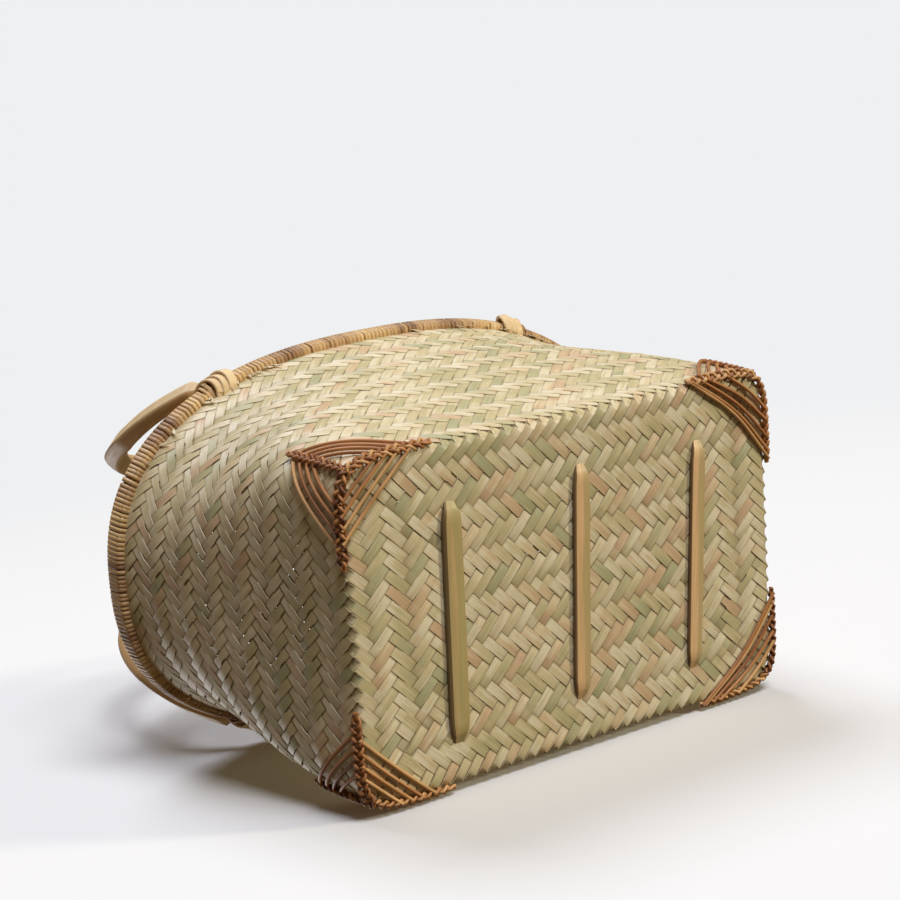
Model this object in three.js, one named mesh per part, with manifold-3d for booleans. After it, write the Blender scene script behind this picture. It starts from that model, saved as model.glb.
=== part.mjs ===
// Bamboo basket bag: a twill-woven bamboo body that opens from a square-cornered base to an oval
// mouth, a rim of two hoops and a cane bound with rattan peel, two bent cane handles whose thin
// tails wind round the rim, three slats under the base and a rattan lacing on each lower corner.
// Millimetres, +Z up. X runs along the long sides and Y across. z = 0 is the slats' underside.

import * as THREE from 'three';
import { mergeVertices } from 'three/addons/utils/BufferGeometryUtils.js';
import Module from 'manifold-3d';

const wasm = await Module();
wasm.setup();

// Woven body, measured to the middle of its wall
const baseLength = 300;
const baseDepth = 196;
const mouthLength = 376;
const mouthDepth = 237;
const rimHeight = 199.5;
const wallThickness = 1.8;
const baseEdgeRadius = 4;
const floorFillet = 3;

// Plan outlines are superellipses: the exponent is high at the base and falls to an oval's
const baseSquareness = 14;
const mouthSquareness = 2.43;
const squarenessFall = 2.8;

// Running and seating clearance between pieces that touch
const seatGap = 0.3;

// Rim
const hoopHeight = 10;
const hoopThickness = 3.2;
const hoopBevelIn = 1.4;
const hoopBevelUp = 2;
const rimCaneRadius = 1.7;
const peelThickness = 0.9;
const peelWidth = 4.6;
const windingPitch = 13;
const windingLoopLimit = 24;

// Handles
const handleKnotSpan = 228;
const handleTopSpan = 290;
const handleHeight = 174;
const handleBendRadius = 108;
const gripThickness = 12;
const gripWidth = 9;
const legFootThickness = 9.5;
const legFootWidth = 6;
const legFootHeight = 22;
const tailWidth = 3.4;
const tailThickness = 1.8;
const tailPitch = 4.6;
const tailTurns = 2.5;
const tailInnerRadius = 9.7;
const hingeLift = 1.5;
const frontLean = THREE.MathUtils.degToRad(27.6);
const backLean = THREE.MathUtils.degToRad(13.6);

// Slats under the base
const slatThickness = 2.4;
const slatWidth = 13.5;
const slatTipWidth = 8;
const slatEndRoom = 29;
const slatTuckLength = 14;
const slatRampLength = 12;

// Corner lacings
const lacingReach = 54;
const lacingArmRadius = 2.3;
const lacingStrandRadius = 1.1;
const lacingGap = 0.8;
const lacingDroop = THREE.MathUtils.degToRad(38);
const lacingStrandShares = [0.34, 0.56, 0.78, 1];
const lacingArmShares = [0.25, 0.5, 0.75, 1];
const lacingFaceShares = [0.25, 0.55, 0.8, 0.93];

const cutOverrun = 5;
const baseUnder = slatThickness + seatGap;

// Outline of the wall
const columnCount = 64;
const cornerCrowdingShare = 0.5;
const columnTurns = Array.from({ length: columnCount }, (_, i) => {
  const even = 2 * Math.PI * i / columnCount;
  return even + cornerCrowdingShare / 4 * Math.sin(4 * even);
});

// Half-axes and exponent of the wall's middle surface at a rise above the base's underside.
function wallSection(rise) {
  const riseShare = rise / rimHeight;
  const fall = Math.max(0, 1 - riseShare) ** squarenessFall;
  return {
    a: baseLength / 2 + (mouthLength - baseLength) / 2 * riseShare,
    b: baseDepth / 2 + (mouthDepth - baseDepth) / 2 * riseShare,
    n: mouthSquareness + (baseSquareness - mouthSquareness) * fall,
  };
}

// A point of the wall at a turn and a rise, moved out from the middle surface by an offset.
function wallPoint(turn, rise, offset) {
  const { a, b, n } = wallSection(rise);
  const c = Math.cos(turn);
  const s = Math.sin(turn);
  const reach = (Math.abs(c) ** n + Math.abs(s) ** n) ** (-1 / n);
  const normalX = Math.sign(c) * Math.abs(reach * c) ** (n - 1) / a;
  const normalY = Math.sign(s) * Math.abs(reach * s) ** (n - 1) / b;
  const size = Math.hypot(normalX, normalY);
  return new THREE.Vector3(
    a * reach * c + offset * normalX / size,
    b * reach * s + offset * normalY / size,
    baseUnder + rise,
  );
}

// Six times the volume that a closed skin holds, negative where its faces point inwards.
function signedVolume(points, faces) {
  const across = new THREE.Vector3();
  return faces.reduce((sum, [i, j, k]) => sum + across.crossVectors(points[i], points[j]).dot(points[k]), 0);
}

// A closed skin through rings of points. A looped skin joins its last ring to its first, and an
// open one is closed at both ends by a fan round the middle of the end ring.
function skin(rings, looped = false) {
  const size = rings[0].length;
  const points = rings.flat();
  const faces = [];
  const bands = looped ? rings.length : rings.length - 1;
  for (let ring = 0; ring < bands; ring += 1) {
    const here = ring * size;
    const next = ((ring + 1) % rings.length) * size;
    for (let k = 0; k < size; k += 1) {
      const beside = (k + 1) % size;
      faces.push([here + k, next + k, next + beside]);
      faces.push([here + k, next + beside, here + beside]);
    }
  }
  if (!looped) {
    for (const [start, flip] of [[0, false], [(rings.length - 1) * size, true]]) {
      const middle = new THREE.Vector3();
      for (let k = 0; k < size; k += 1) middle.addScaledVector(points[start + k], 1 / size);
      points.push(middle);
      for (let k = 0; k < size; k += 1) {
        const edge = [start + k, start + (k + 1) % size];
        faces.push([points.length - 1, ...(flip ? edge.reverse() : edge)]);
      }
    }
  }
  if (signedVolume(points, faces) < 0) faces.forEach((face) => face.reverse());
  const geometry = new THREE.BufferGeometry();
  geometry.setAttribute('position', new THREE.Float32BufferAttribute(points.flatMap((p) => p.toArray()), 3));
  geometry.setIndex(faces.flat());
  return geometry;
}

// Closed mesh to solid and back, for cuts and joins.
function toSolid(geometry) {
  const bare = new THREE.BufferGeometry();
  bare.setAttribute('position', geometry.getAttribute('position'));
  if (geometry.index) bare.setIndex(geometry.index);
  const merged = mergeVertices(bare);
  return new wasm.Manifold(new wasm.Mesh({
    numProp: 3,
    vertProperties: new Float32Array(merged.getAttribute('position').array),
    triVerts: new Uint32Array(merged.index.array),
  }));
}

function fromSolid(solid) {
  const mesh = solid.getMesh();
  const geometry = new THREE.BufferGeometry();
  geometry.setAttribute('position', new THREE.BufferAttribute(new Float32Array(mesh.vertProperties), 3));
  geometry.setIndex(new THREE.BufferAttribute(new Uint32Array(mesh.triVerts), 1));
  return geometry;
}

// A block with its middle at a point, turned about Z.
function block(width, depth, height, middle, turn = 0) {
  const geometry = new THREE.BoxGeometry(width, depth, height);
  geometry.rotateZ(turn);
  geometry.translate(middle.x, middle.y, middle.z);
  return toSolid(geometry);
}

// Least distance between parts of a strip that lie at least half a loop apart along it.
function leastSelfGap(rings, ringsApart) {
  let least = Infinity;
  for (let i = 0; i < rings.length; i += 1) {
    for (let j = i + ringsApart; j < rings.length; j += 1) {
      for (const p of rings[i]) {
        for (const q of rings[j]) least = Math.min(least, p.distanceTo(q));
      }
    }
  }
  return least;
}

function reportSelfGap(name, rings, ringsApart) {
  console.log(`${name}: least gap to itself ${leastSelfGap(rings, ringsApart).toFixed(2)} mm`);
}

const basket = new THREE.Group();
const colours = {
  straw: 0xc9bb85,
  cane: 0xb98a4f,
  peel: 0xc0934f,
  paleCane: 0xcdb07c,
  slat: 0xb59a5f,
  rattan: 0xa8632c,
};

function addPiece(name, geometry, colour, roughness) {
  const material = new THREE.MeshStandardMaterial({ color: colour, roughness, metalness: 0 });
  const mesh = new THREE.Mesh(geometry, material);
  mesh.name = name;
  basket.add(mesh);
  return mesh;
}

// Rim outline: the hoops' inner faces stand a gap off the wall, and the cane lies in the groove
// between their tops.
const hoopIn = wallThickness / 2 + seatGap;
const hoopOut = hoopIn + hoopThickness;
const hoopTop = hoopHeight / 2;
const caneLift = hoopTop + Math.sqrt((rimCaneRadius + seatGap) ** 2 - hoopIn ** 2);
const caneTop = caneLift + rimCaneRadius;
const wallTop = caneLift - rimCaneRadius - seatGap;

const hoopSection = [
  [hoopIn, -hoopTop],
  [hoopOut - hoopBevelIn, -hoopTop],
  [hoopOut, hoopBevelUp - hoopTop],
  [hoopOut, hoopTop - hoopBevelUp],
  [hoopOut - hoopBevelIn, hoopTop],
  [hoopIn, hoopTop],
];

// A ring of the rim's own facets: one section for each column of the wall.
function rimRing(section) {
  return skin(columnTurns.map((turn) => section.map(([offset, lift]) => (
    wallPoint(turn, rimHeight + lift, offset)))), true);
}

addPiece('rim_hoop_outer', rimRing(hoopSection), colours.cane, 0.6);
addPiece('rim_hoop_inner', rimRing(hoopSection.map(([offset, lift]) => [-offset, lift])), colours.cane, 0.6);

const caneSides = 6;
const caneSection = Array.from({ length: caneSides }, (_, i) => {
  const turn = 2 * Math.PI * (i + 1 / 2) / caneSides;
  return [rimCaneRadius * Math.cos(turn), caneLift + rimCaneRadius * Math.sin(turn)];
});
addPiece('rim_top_cane', rimRing(caneSection), colours.cane, 0.6);

// Length along the rim, from the middle of the right end, at each column
const rimMiddle = columnTurns.map((turn) => wallPoint(turn, rimHeight, 0));
const rimMarks = [0];
rimMiddle.forEach((point, i) => {
  rimMarks.push(rimMarks[i] + point.distanceTo(rimMiddle[(i + 1) % columnCount]));
});
const rimGirth = rimMarks[columnCount];

// A point of the rim at a length along it, an offset from the wall's middle and a lift.
function rimPoint(along, offset, lift) {
  const wrapped = ((along % rimGirth) + rimGirth) % rimGirth;
  const column = Math.min(columnCount - 1, rimMarks.findIndex((mark) => mark > wrapped) - 1);
  const columnShare = (wrapped - rimMarks[column]) / (rimMarks[column + 1] - rimMarks[column]);
  const from = wallPoint(columnTurns[column], rimHeight + lift, offset);
  const to = wallPoint(columnTurns[(column + 1) % columnCount], rimHeight + lift, offset);
  return from.lerp(to, columnShare);
}

// Length along the rim from the right end's middle to the back right knot
const quarter = columnCount / 4;
const knotColumn = rimMiddle.findIndex((point, i) => i < quarter && rimMiddle[i + 1].x < handleKnotSpan / 2);
const knotShare = (rimMiddle[knotColumn].x - handleKnotSpan / 2)
  / (rimMiddle[knotColumn].x - rimMiddle[knotColumn + 1].x);
const knotAlong = rimMarks[knotColumn] + knotShare * (rimMarks[knotColumn + 1] - rimMarks[knotColumn]);
const hingeDepth = rimPoint(knotAlong, 0, 0).y;
const hingeHeight = baseUnder + rimHeight + hingeLift;
const knotLength = tailTurns * tailPitch + tailWidth;

// The rim runs aslant to the hinge line at a knot: its drift sideways for a length along that line
const knotRun = rimPoint(knotAlong - knotLength / 2, 0, 0).sub(rimPoint(knotAlong + knotLength / 2, 0, 0));
const knotDriftShare = Math.abs(knotRun.y / knotRun.x);

// Convex outline with each corner moved out along its bisector, so that each side moves by a distance.
function grownOutline(outline, distance) {
  return outline.map(([x, y], i) => {
    const [x0, y0] = outline[(i + outline.length - 1) % outline.length];
    const [x1, y1] = outline[(i + 1) % outline.length];
    const before = new THREE.Vector2(y - y0, x0 - x).normalize();
    const after = new THREE.Vector2(y1 - y, x - x1).normalize();
    const out = before.clone().add(after).multiplyScalar(distance / (1 + before.dot(after)));
    return [x + out.x, y + out.y];
  });
}

// What the rim's winding binds: both hoops and the cane, from the inner foot round by the outside
const crownShare = 0.68;
const boundOutline = [
  [hoopBevelIn - hoopOut, -hoopTop],
  [hoopOut - hoopBevelIn, -hoopTop],
  [hoopOut, hoopBevelUp - hoopTop],
  [hoopOut, hoopTop - hoopBevelUp],
  [rimCaneRadius * crownShare, caneTop],
  [-rimCaneRadius * crownShare, caneTop],
  [-hoopOut, hoopTop - hoopBevelUp],
  [-hoopOut, hoopBevelUp - hoopTop],
];
const peelInside = grownOutline(boundOutline, seatGap);
const peelOutside = grownOutline(boundOutline, seatGap + peelThickness);
const footLift = -hoopTop - seatGap - peelThickness / 2;

// Share of one turn at which the strip has reached each corner of the outline
const peelSides = boundOutline.map((point, i) => {
  const [x0, y0] = peelInside[i];
  const [x1, y1] = peelInside[(i + 1) % boundOutline.length];
  return Math.hypot(x1 - x0, y1 - y0);
});
const peelTurnLength = peelSides.reduce((sum, side) => sum + side, 0);
const cornerShares = peelSides.map((_, i) => (
  peelSides.slice(0, i).reduce((sum, side) => sum + side, 0) / peelTurnLength));

const wallCuts = [];

// One unbroken strip of rattan peel, wound round the rim between two lengths along it. Each loop
// goes through the weave just under the hoops.
function rimWinding(name, start, end) {
  const run = end - start - peelWidth;
  const loops = Math.min(windingLoopLimit, Math.floor(run / windingPitch));
  const pitch = run / loops;
  const rings = [];
  for (let loop = 0; loop < loops; loop += 1) {
    boundOutline.forEach((_, corner) => {
      const along = start + peelWidth / 2 + pitch * (loop + cornerShares[corner]);
      rings.push([
        rimPoint(along - peelWidth / 2, ...peelInside[corner]),
        rimPoint(along + peelWidth / 2, ...peelInside[corner]),
        rimPoint(along + peelWidth / 2, ...peelOutside[corner]),
        rimPoint(along - peelWidth / 2, ...peelOutside[corner]),
      ]);
    });
    const crossing = start + peelWidth / 2 + pitch * (loop + cornerShares[1] / 2);
    const middle = rimPoint(crossing, 0, footLift);
    const tangent = rimPoint(crossing + peelWidth / 2, 0, footLift)
      .sub(rimPoint(crossing - peelWidth / 2, 0, footLift));
    const advance = pitch * (wallThickness + 2 * cutOverrun) / peelTurnLength;
    wallCuts.push(block(
      peelWidth + 2 * seatGap + advance,
      wallThickness + 2 * cutOverrun,
      peelThickness + 2 * seatGap,
      middle,
      Math.atan2(tangent.y, tangent.x),
    ));
  }
  reportSelfGap(name, rings, boundOutline.length / 2);
  addPiece(name, skin(rings), colours.peel, 0.55);
}

const knotSlant = Math.atan(knotDriftShare);
const peelReach = hoopOut + seatGap + peelThickness;
const knotRoom = knotLength / 2 / Math.cos(knotSlant) + peelReach * knotDriftShare + seatGap;
rimWinding('rim_winding_right', -knotAlong + knotRoom, knotAlong - knotRoom);
rimWinding('rim_winding_back', knotAlong + knotRoom, rimGirth / 2 - knotAlong - knotRoom);
rimWinding('rim_winding_left', rimGirth / 2 - knotAlong + knotRoom, rimGirth / 2 + knotAlong - knotRoom);
rimWinding('rim_winding_front', rimGirth / 2 + knotAlong + knotRoom, rimGirth - knotAlong - knotRoom);

// Handles: one split cane each. Its ends are shaved to thin tails that wind round the rim, so
// that the handle turns about the line through its two knots.
const tailRadius = tailInnerRadius + tailThickness / 2;
const tailSteps = 12;
const bendSteps = 9;
const gripShares = [0, 0.5];
const legShares = [0.67, 0.33];
const footShares = [1, 0.5];
const caneChamferShare = 0.28;

// Eight points round a place on the cane: thick is measured in the handle's plane, wide across it.
function caneRing(place, heading, across, thick, wide) {
  const inPlane = new THREE.Vector3().crossVectors(heading, across).normalize();
  const cut = caneChamferShare * Math.min(thick, wide);
  const corners = [
    [thick / 2 - cut, wide / 2], [thick / 2, wide / 2 - cut],
    [thick / 2, cut - wide / 2], [thick / 2 - cut, -wide / 2],
    [cut - thick / 2, -wide / 2], [-thick / 2, cut - wide / 2],
    [-thick / 2, wide / 2 - cut], [cut - thick / 2, wide / 2],
  ];
  return corners.map(([t, w]) => place.clone().addScaledVector(inPlane, t).addScaledVector(across, w));
}

// Half of a handle, from the middle of the grip to the end of the tail on the +X side. The
// frame is the hinge line's: +Y away from the basket, +Z up.
function halfHandle() {
  const rings = [];
  const across = new THREE.Vector3(0, 1, 0);
  const bendX = handleTopSpan / 2 - handleBendRadius;
  const bendZ = handleHeight - handleBendRadius;
  const tailStart = handleKnotSpan / 2 + tailTurns * tailPitch / 2;
  for (const gripShare of gripShares) {
    rings.push(caneRing(new THREE.Vector3(bendX * gripShare, 0, handleHeight),
      new THREE.Vector3(1, 0, 0), across, gripThickness, gripWidth));
  }
  for (let step = 0; step <= bendSteps; step += 1) {
    const turn = Math.PI / 2 * (1 - step / bendSteps);
    const place = new THREE.Vector3(
      bendX + handleBendRadius * Math.cos(turn), 0, bendZ + handleBendRadius * Math.sin(turn));
    const heading = new THREE.Vector3(Math.sin(turn), 0, -Math.cos(turn));
    rings.push(caneRing(place, heading, across, gripThickness, gripWidth));
  }
  const legTop = new THREE.Vector3(handleTopSpan / 2, 0, bendZ);
  const legFoot = new THREE.Vector3(tailStart, tailRadius, 0);
  const down = legFoot.clone().sub(legTop).normalize();
  const legHeights = legShares.map((share) => share * bendZ);
  const footHeights = footShares.map((share) => share * legFootHeight);
  for (const height of [...legHeights, ...footHeights]) {
    const place = legTop.clone().lerp(legFoot, 1 - height / bendZ);
    const footShare = Math.min(1, height / legFootHeight);
    const legShare = Math.max(0, (height - legFootHeight) / (bendZ - legFootHeight));
    const footWide = tailThickness + (legFootWidth - tailThickness) * footShare;
    const wide = footWide + (gripWidth - legFootWidth) * legShare;
    const footThick = tailWidth + (legFootThickness - tailWidth) * footShare;
    const thick = footThick + (gripThickness - legFootThickness) * legShare;
    rings.push(caneRing(place, down, across, thick, wide));
  }
  const turnSteps = Math.round(tailTurns * tailSteps);
  for (let step = 0; step <= turnSteps; step += 1) {
    const turn = 2 * Math.PI * step / tailSteps;
    const place = new THREE.Vector3(tailStart - tailPitch * step / tailSteps,
      tailRadius * Math.cos(turn), -tailRadius * Math.sin(turn));
    const heading = new THREE.Vector3(0, -Math.sin(turn), -Math.cos(turn));
    const radial = new THREE.Vector3(0, Math.cos(turn), -Math.sin(turn));
    rings.push(caneRing(place, heading, radial, tailWidth, tailThickness));
  }
  return rings;
}

const rightHalf = halfHandle();
const leftHalf = rightHalf.slice(1).map((ring) => (
  ring.map((point) => new THREE.Vector3(-point.x, point.y, point.z))));
const handleRings = [...leftHalf.reverse(), ...rightHalf];

for (const [name, side, lean] of [['handle_back', 0, backLean], ['handle_front', Math.PI, frontLean]]) {
  const hinge = new THREE.Group();
  hinge.rotation.z = side;
  const swing = new THREE.Group();
  swing.position.set(0, hingeDepth, hingeHeight);
  swing.rotation.x = lean;
  hinge.add(swing);
  basket.add(hinge);
  reportSelfGap(name, handleRings, tailSteps / 2);
  swing.add(addPiece(name, skin(handleRings), colours.paleCane, 0.5));
}

// The wall is open under the hoops at each knot, where the tails pass
const knotReach = tailRadius + tailThickness / 2;
const wallFlareShare = (mouthDepth - baseDepth) / 2 / rimHeight;
const wallAside = wallThickness / 2 + knotDriftShare * knotLength / 2 + wallFlareShare * knotReach;
const slotTop = Math.sqrt(tailInnerRadius ** 2 - wallAside ** 2);
for (const x of [-handleKnotSpan / 2, handleKnotSpan / 2]) {
  for (const y of [-hingeDepth, hingeDepth]) {
    const bottom = hingeHeight - knotReach - seatGap;
    const top = hingeHeight - slotTop + seatGap;
    wallCuts.push(block(
      knotLength + 4 * seatGap,
      2 * knotReach,
      top - bottom,
      new THREE.Vector3(x, y, (top + bottom) / 2),
    ));
  }
}

// Slats: split bamboo strips threaded through the base. The middle stands proud underneath, and
// the narrowed ends come up through the weave, a room from the base's long edges, and lie on the
// floor of the basket.
const slatShowLength = baseDepth - 2 * slatEndRoom;
const slatUnder = slatThickness / 2;
const slatOver = baseUnder + wallThickness + seatGap + slatThickness / 2;
const slatPlaces = [
  { name: 'base_slat_left', placeShare: -0.56, slantShare: -0.031 },
  { name: 'base_slat_middle', placeShare: 0.035, slantShare: -0.06 },
  { name: 'base_slat_right', placeShare: 0.615, slantShare: -0.075 },
];
for (const { name, placeShare, slantShare } of slatPlaces) {
  const middle = placeShare * baseLength / 2;
  const showHalf = slatShowLength / 2;
  const ramp = slatRampLength / 2;
  const stations = [
    [showHalf + ramp + slatTuckLength, slatOver, slatTipWidth],
    [showHalf + ramp, slatOver, slatWidth],
    [showHalf - ramp, slatUnder, slatWidth],
  ];
  const path = [
    ...stations.map(([y, z, wide]) => [-y, z, wide]),
    ...[...stations].reverse(),
  ];
  const rings = path.map(([y, z, wide]) => [[-1, -1], [1, -1], [1, 1], [-1, 1]].map(([across, up]) => (
    new THREE.Vector3(middle + y * slantShare + across * wide / 2, y, z + up * slatThickness / 2))));
  addPiece(name, skin(rings), colours.slat, 0.6);
  for (const end of [-1, 1]) {
    wallCuts.push(block(
      slatWidth + 4 * seatGap,
      slatRampLength + slatThickness,
      wallThickness + 2 * seatGap,
      new THREE.Vector3(middle + end * showHalf * slantShare, end * showHalf, baseUnder + wallThickness / 2),
    ));
  }
}

// Woven body: one thin shell from the base's underside over the rim and back down to the floor.
const levelShares = [0.07, 0.17, 0.3, 0.45, 0.62, 0.8];
const edgeSteps = 3;
const outerRings = [];
for (let step = 0; step <= edgeSteps; step += 1) {
  const turn = Math.PI / 2 * step / edgeSteps;
  const offset = wallThickness / 2 - baseEdgeRadius * (1 - Math.sin(turn));
  outerRings.push({ rise: baseEdgeRadius * (1 - Math.cos(turn)), offset });
}
for (const levelShare of levelShares) {
  outerRings.push({ rise: levelShare * rimHeight, offset: wallThickness / 2 });
}
outerRings.push({ rise: rimHeight - hoopTop, offset: wallThickness / 2 });
outerRings.push({ rise: rimHeight + wallTop, offset: wallThickness / 2 });
const innerRings = outerRings.slice(edgeSteps + 1).reverse()
  .map(({ rise }) => ({ rise, offset: -wallThickness / 2 }));
innerRings.push({ rise: wallThickness + floorFillet, offset: -wallThickness / 2 });
innerRings.push({ rise: wallThickness, offset: -wallThickness / 2 - floorFillet });
const shell = skin([...outerRings, ...innerRings].map(({ rise, offset }) => (
  columnTurns.map((turn) => wallPoint(turn, rise, offset)))));
let body = toSolid(shell);
for (const cut of wallCuts) body = body.subtract(cut);
addPiece('woven_body', fromSolid(body), colours.straw, 0.75);

// Corner lacings: a braided arm of thin rattan along each of the three edges that meet at a
// lower corner, and nested strands across the three faces between the arms.
function lacingTube(points, radius, sides, steps) {
  const outline = new THREE.Shape(Array.from({ length: sides }, (_, i) => {
    const turn = 2 * Math.PI * i / sides;
    return new THREE.Vector2(radius * Math.cos(turn), radius * Math.sin(turn));
  }));
  const extrudePath = new THREE.CatmullRomCurve3(points);
  return toSolid(new THREE.ExtrudeGeometry(outline, { steps, extrudePath, bevelEnabled: false }));
}

function cornerLacing(sideX, sideY) {
  const { a, b, n } = wallSection(0);
  const cornerX = a * 2 ** (-1 / n);
  const cornerY = b * 2 ** (-1 / n);
  const turned = (turn) => Math.atan2(sideY * Math.sin(turn), sideX * Math.cos(turn));
  const cornerTurn = turned(Math.PI / 4);
  const longTurn = (distance) => turned(Math.atan2(1, (cornerX - distance) / a));
  const endTurn = (distance) => turned(Math.atan2((cornerY - distance) / b, 1));
  const standOff = baseEdgeRadius + lacingGap + lacingArmRadius;
  const onEdge = (turn) => {
    const offset = wallThickness / 2 - baseEdgeRadius + standOff * Math.cos(lacingDroop);
    const point = wallPoint(turn, baseEdgeRadius, offset);
    point.z = baseUnder + baseEdgeRadius - standOff * Math.sin(lacingDroop);
    return point;
  };
  const upCorner = (rise) => wallPoint(cornerTurn, rise, wallThickness / 2 + lacingGap + lacingArmRadius);
  const armPlaces = lacingArmShares.map((armShare) => armShare * lacingReach);
  const arms = [
    [onEdge(cornerTurn), ...armPlaces.map((distance) => onEdge(longTurn(distance)))],
    [onEdge(cornerTurn), ...armPlaces.map((distance) => onEdge(endTurn(distance)))],
    [onEdge(cornerTurn), ...armPlaces.map((rise) => upCorner(rise))],
  ];
  const armSides = 5;
  const strandSides = 4;
  const tubes = arms.map((arm) => lacingTube(arm, lacingArmRadius, armSides, arm.length));
  const strandOffset = wallThickness / 2 + lacingGap + lacingStrandRadius;
  const strandLevel = baseUnder - seatGap - lacingStrandRadius;
  for (const strandShare of lacingStrandShares) {
    const distance = strandShare * lacingReach;
    for (const sideTurn of [longTurn, endTurn]) {
      const onWall = lacingFaceShares.map((faceShare) => (
        wallPoint(sideTurn(distance * (1 - faceShare)), distance * faceShare, strandOffset)));
      const path = [onEdge(sideTurn(distance)), ...onWall, upCorner(distance)];
      tubes.push(lacingTube(path, lacingStrandRadius, strandSides, path.length - 1));
    }
    const underBase = [longTurn, endTurn].map((sideTurn) => onEdge(sideTurn(distance)).setZ(strandLevel));
    tubes.push(lacingTube(underBase, lacingStrandRadius, strandSides, 1));
  }
  return fromSolid(tubes.reduce((joined, tube) => joined.add(tube)));
}

const lacingPlaces = { front_left: [-1, -1], front_right: [1, -1], back_left: [-1, 1], back_right: [1, 1] };
for (const [place, [sideX, sideY]] of Object.entries(lacingPlaces)) {
  addPiece(`corner_lacing_${place}`, cornerLacing(sideX, sideY), colours.rattan, 0.6);
}

export default basket;
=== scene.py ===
# A bamboo basket bag, lying on one long side with its base towards the camera. Its frame is the
# maker's: X along the long sides, Y across, Z up out of the mouth, in metres, with the slats under
# the base at z = 0.
import math
import bpy
import numpy as np
from mathutils import Matrix, Vector


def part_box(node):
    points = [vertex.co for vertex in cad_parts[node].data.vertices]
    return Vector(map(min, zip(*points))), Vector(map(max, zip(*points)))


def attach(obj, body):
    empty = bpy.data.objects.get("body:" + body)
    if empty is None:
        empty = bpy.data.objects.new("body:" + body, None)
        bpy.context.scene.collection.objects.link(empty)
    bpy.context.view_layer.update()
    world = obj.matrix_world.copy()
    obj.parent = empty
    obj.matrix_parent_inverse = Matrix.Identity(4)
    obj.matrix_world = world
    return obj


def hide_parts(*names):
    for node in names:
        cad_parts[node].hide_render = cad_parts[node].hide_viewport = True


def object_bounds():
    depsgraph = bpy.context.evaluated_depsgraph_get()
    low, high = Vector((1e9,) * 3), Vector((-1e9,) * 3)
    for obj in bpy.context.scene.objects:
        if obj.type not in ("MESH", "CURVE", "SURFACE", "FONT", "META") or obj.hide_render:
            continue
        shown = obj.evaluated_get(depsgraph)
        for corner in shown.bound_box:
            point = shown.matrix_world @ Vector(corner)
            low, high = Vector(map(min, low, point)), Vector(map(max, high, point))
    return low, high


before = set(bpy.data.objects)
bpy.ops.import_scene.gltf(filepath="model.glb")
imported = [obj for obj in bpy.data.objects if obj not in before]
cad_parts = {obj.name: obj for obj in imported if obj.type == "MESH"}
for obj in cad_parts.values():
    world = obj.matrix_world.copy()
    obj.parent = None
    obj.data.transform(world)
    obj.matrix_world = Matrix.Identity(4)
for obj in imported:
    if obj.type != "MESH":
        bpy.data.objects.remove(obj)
cad_low, cad_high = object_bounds()

# Camera: where the photograph was taken from, below and to the left of the base. Its forward and
# down directions are those that put the base's corners, the rim and the handle knots in place.
camera_place = Vector((-0.7449, -0.3802, -0.9795))
camera_forward = Vector((0.5454, 0.2354, 0.8044)).normalized()
camera_down = Vector((-0.1894, 0.9695, -0.1554))
camera_right = camera_down.cross(camera_forward).normalized()
camera_up = camera_right.cross(camera_forward)
photo_side = 900
photo_focal = 2239.5


def linked(name, data):
    """A new object with its data, linked to the scene."""
    thing = bpy.data.objects.new(name, data)
    bpy.context.scene.collection.objects.link(thing)
    return thing


camera_data = bpy.data.cameras.new("camera")
camera_data.sensor_width = 36
camera_data.lens = photo_focal / photo_side * camera_data.sensor_width
camera_data.clip_start = 0.05
camera_data.clip_end = 20
camera = linked("camera", camera_data)
camera_axes = Matrix((camera_right, camera_up, -camera_forward)).transposed()
camera.matrix_world = Matrix.Translation(camera_place) @ camera_axes.to_4x4()
bpy.context.scene.camera = camera

# Studio: a broad lamp over the long side, one from the right for the base and its slats, one from
# behind for the sheen, a fill for the mouth and the back, and an even pale world. Each floor shows
# only from its upper side: one for the bag lying as in the photograph, one for it standing.
bpy.context.scene.view_settings.view_transform = "Standard"
world_strength = 0.125
world_colour = (1.0, 0.76, 0.5, 1)
backdrop_white = (0.86, 0.87, 0.88, 1)
floor_colour = (0.72, 0.70, 0.66, 1)
floor_fade_start = 0.55
floor_fade_end = 1.5
floor_gap = 0.0004
floor_reach = 2.5
# Each lamp's name, the way to it, its strength, its spread in degrees and its colour
for name, way, strength, spread, colour in (
        ("key_lamp", (0.0, -0.90, -0.42), 2.3, 24, (0.95, 0.985, 1.09)),
        ("base_lamp", (0.66, -0.40, -0.64), 1.5, 8, (1.0, 0.955, 0.76)),
        ("back_lamp", (0.06, -0.78, 0.60), 1.75, 30, (0.92, 0.99, 1.18)),
        ("fill_lamp", (-0.15, 0.60, 0.78), 0.8, 40, (0.97, 0.98, 1.0))):
    lamp_data = bpy.data.lights.new(name, "SUN")
    lamp_data.energy = strength
    lamp_data.angle = math.radians(spread)
    lamp_data.color = colour
    lamp = linked(name, lamp_data)
    lamp.rotation_mode = "QUATERNION"
    lamp.rotation_quaternion = Vector(way).normalized().to_track_quat("Z", "Y")


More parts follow.
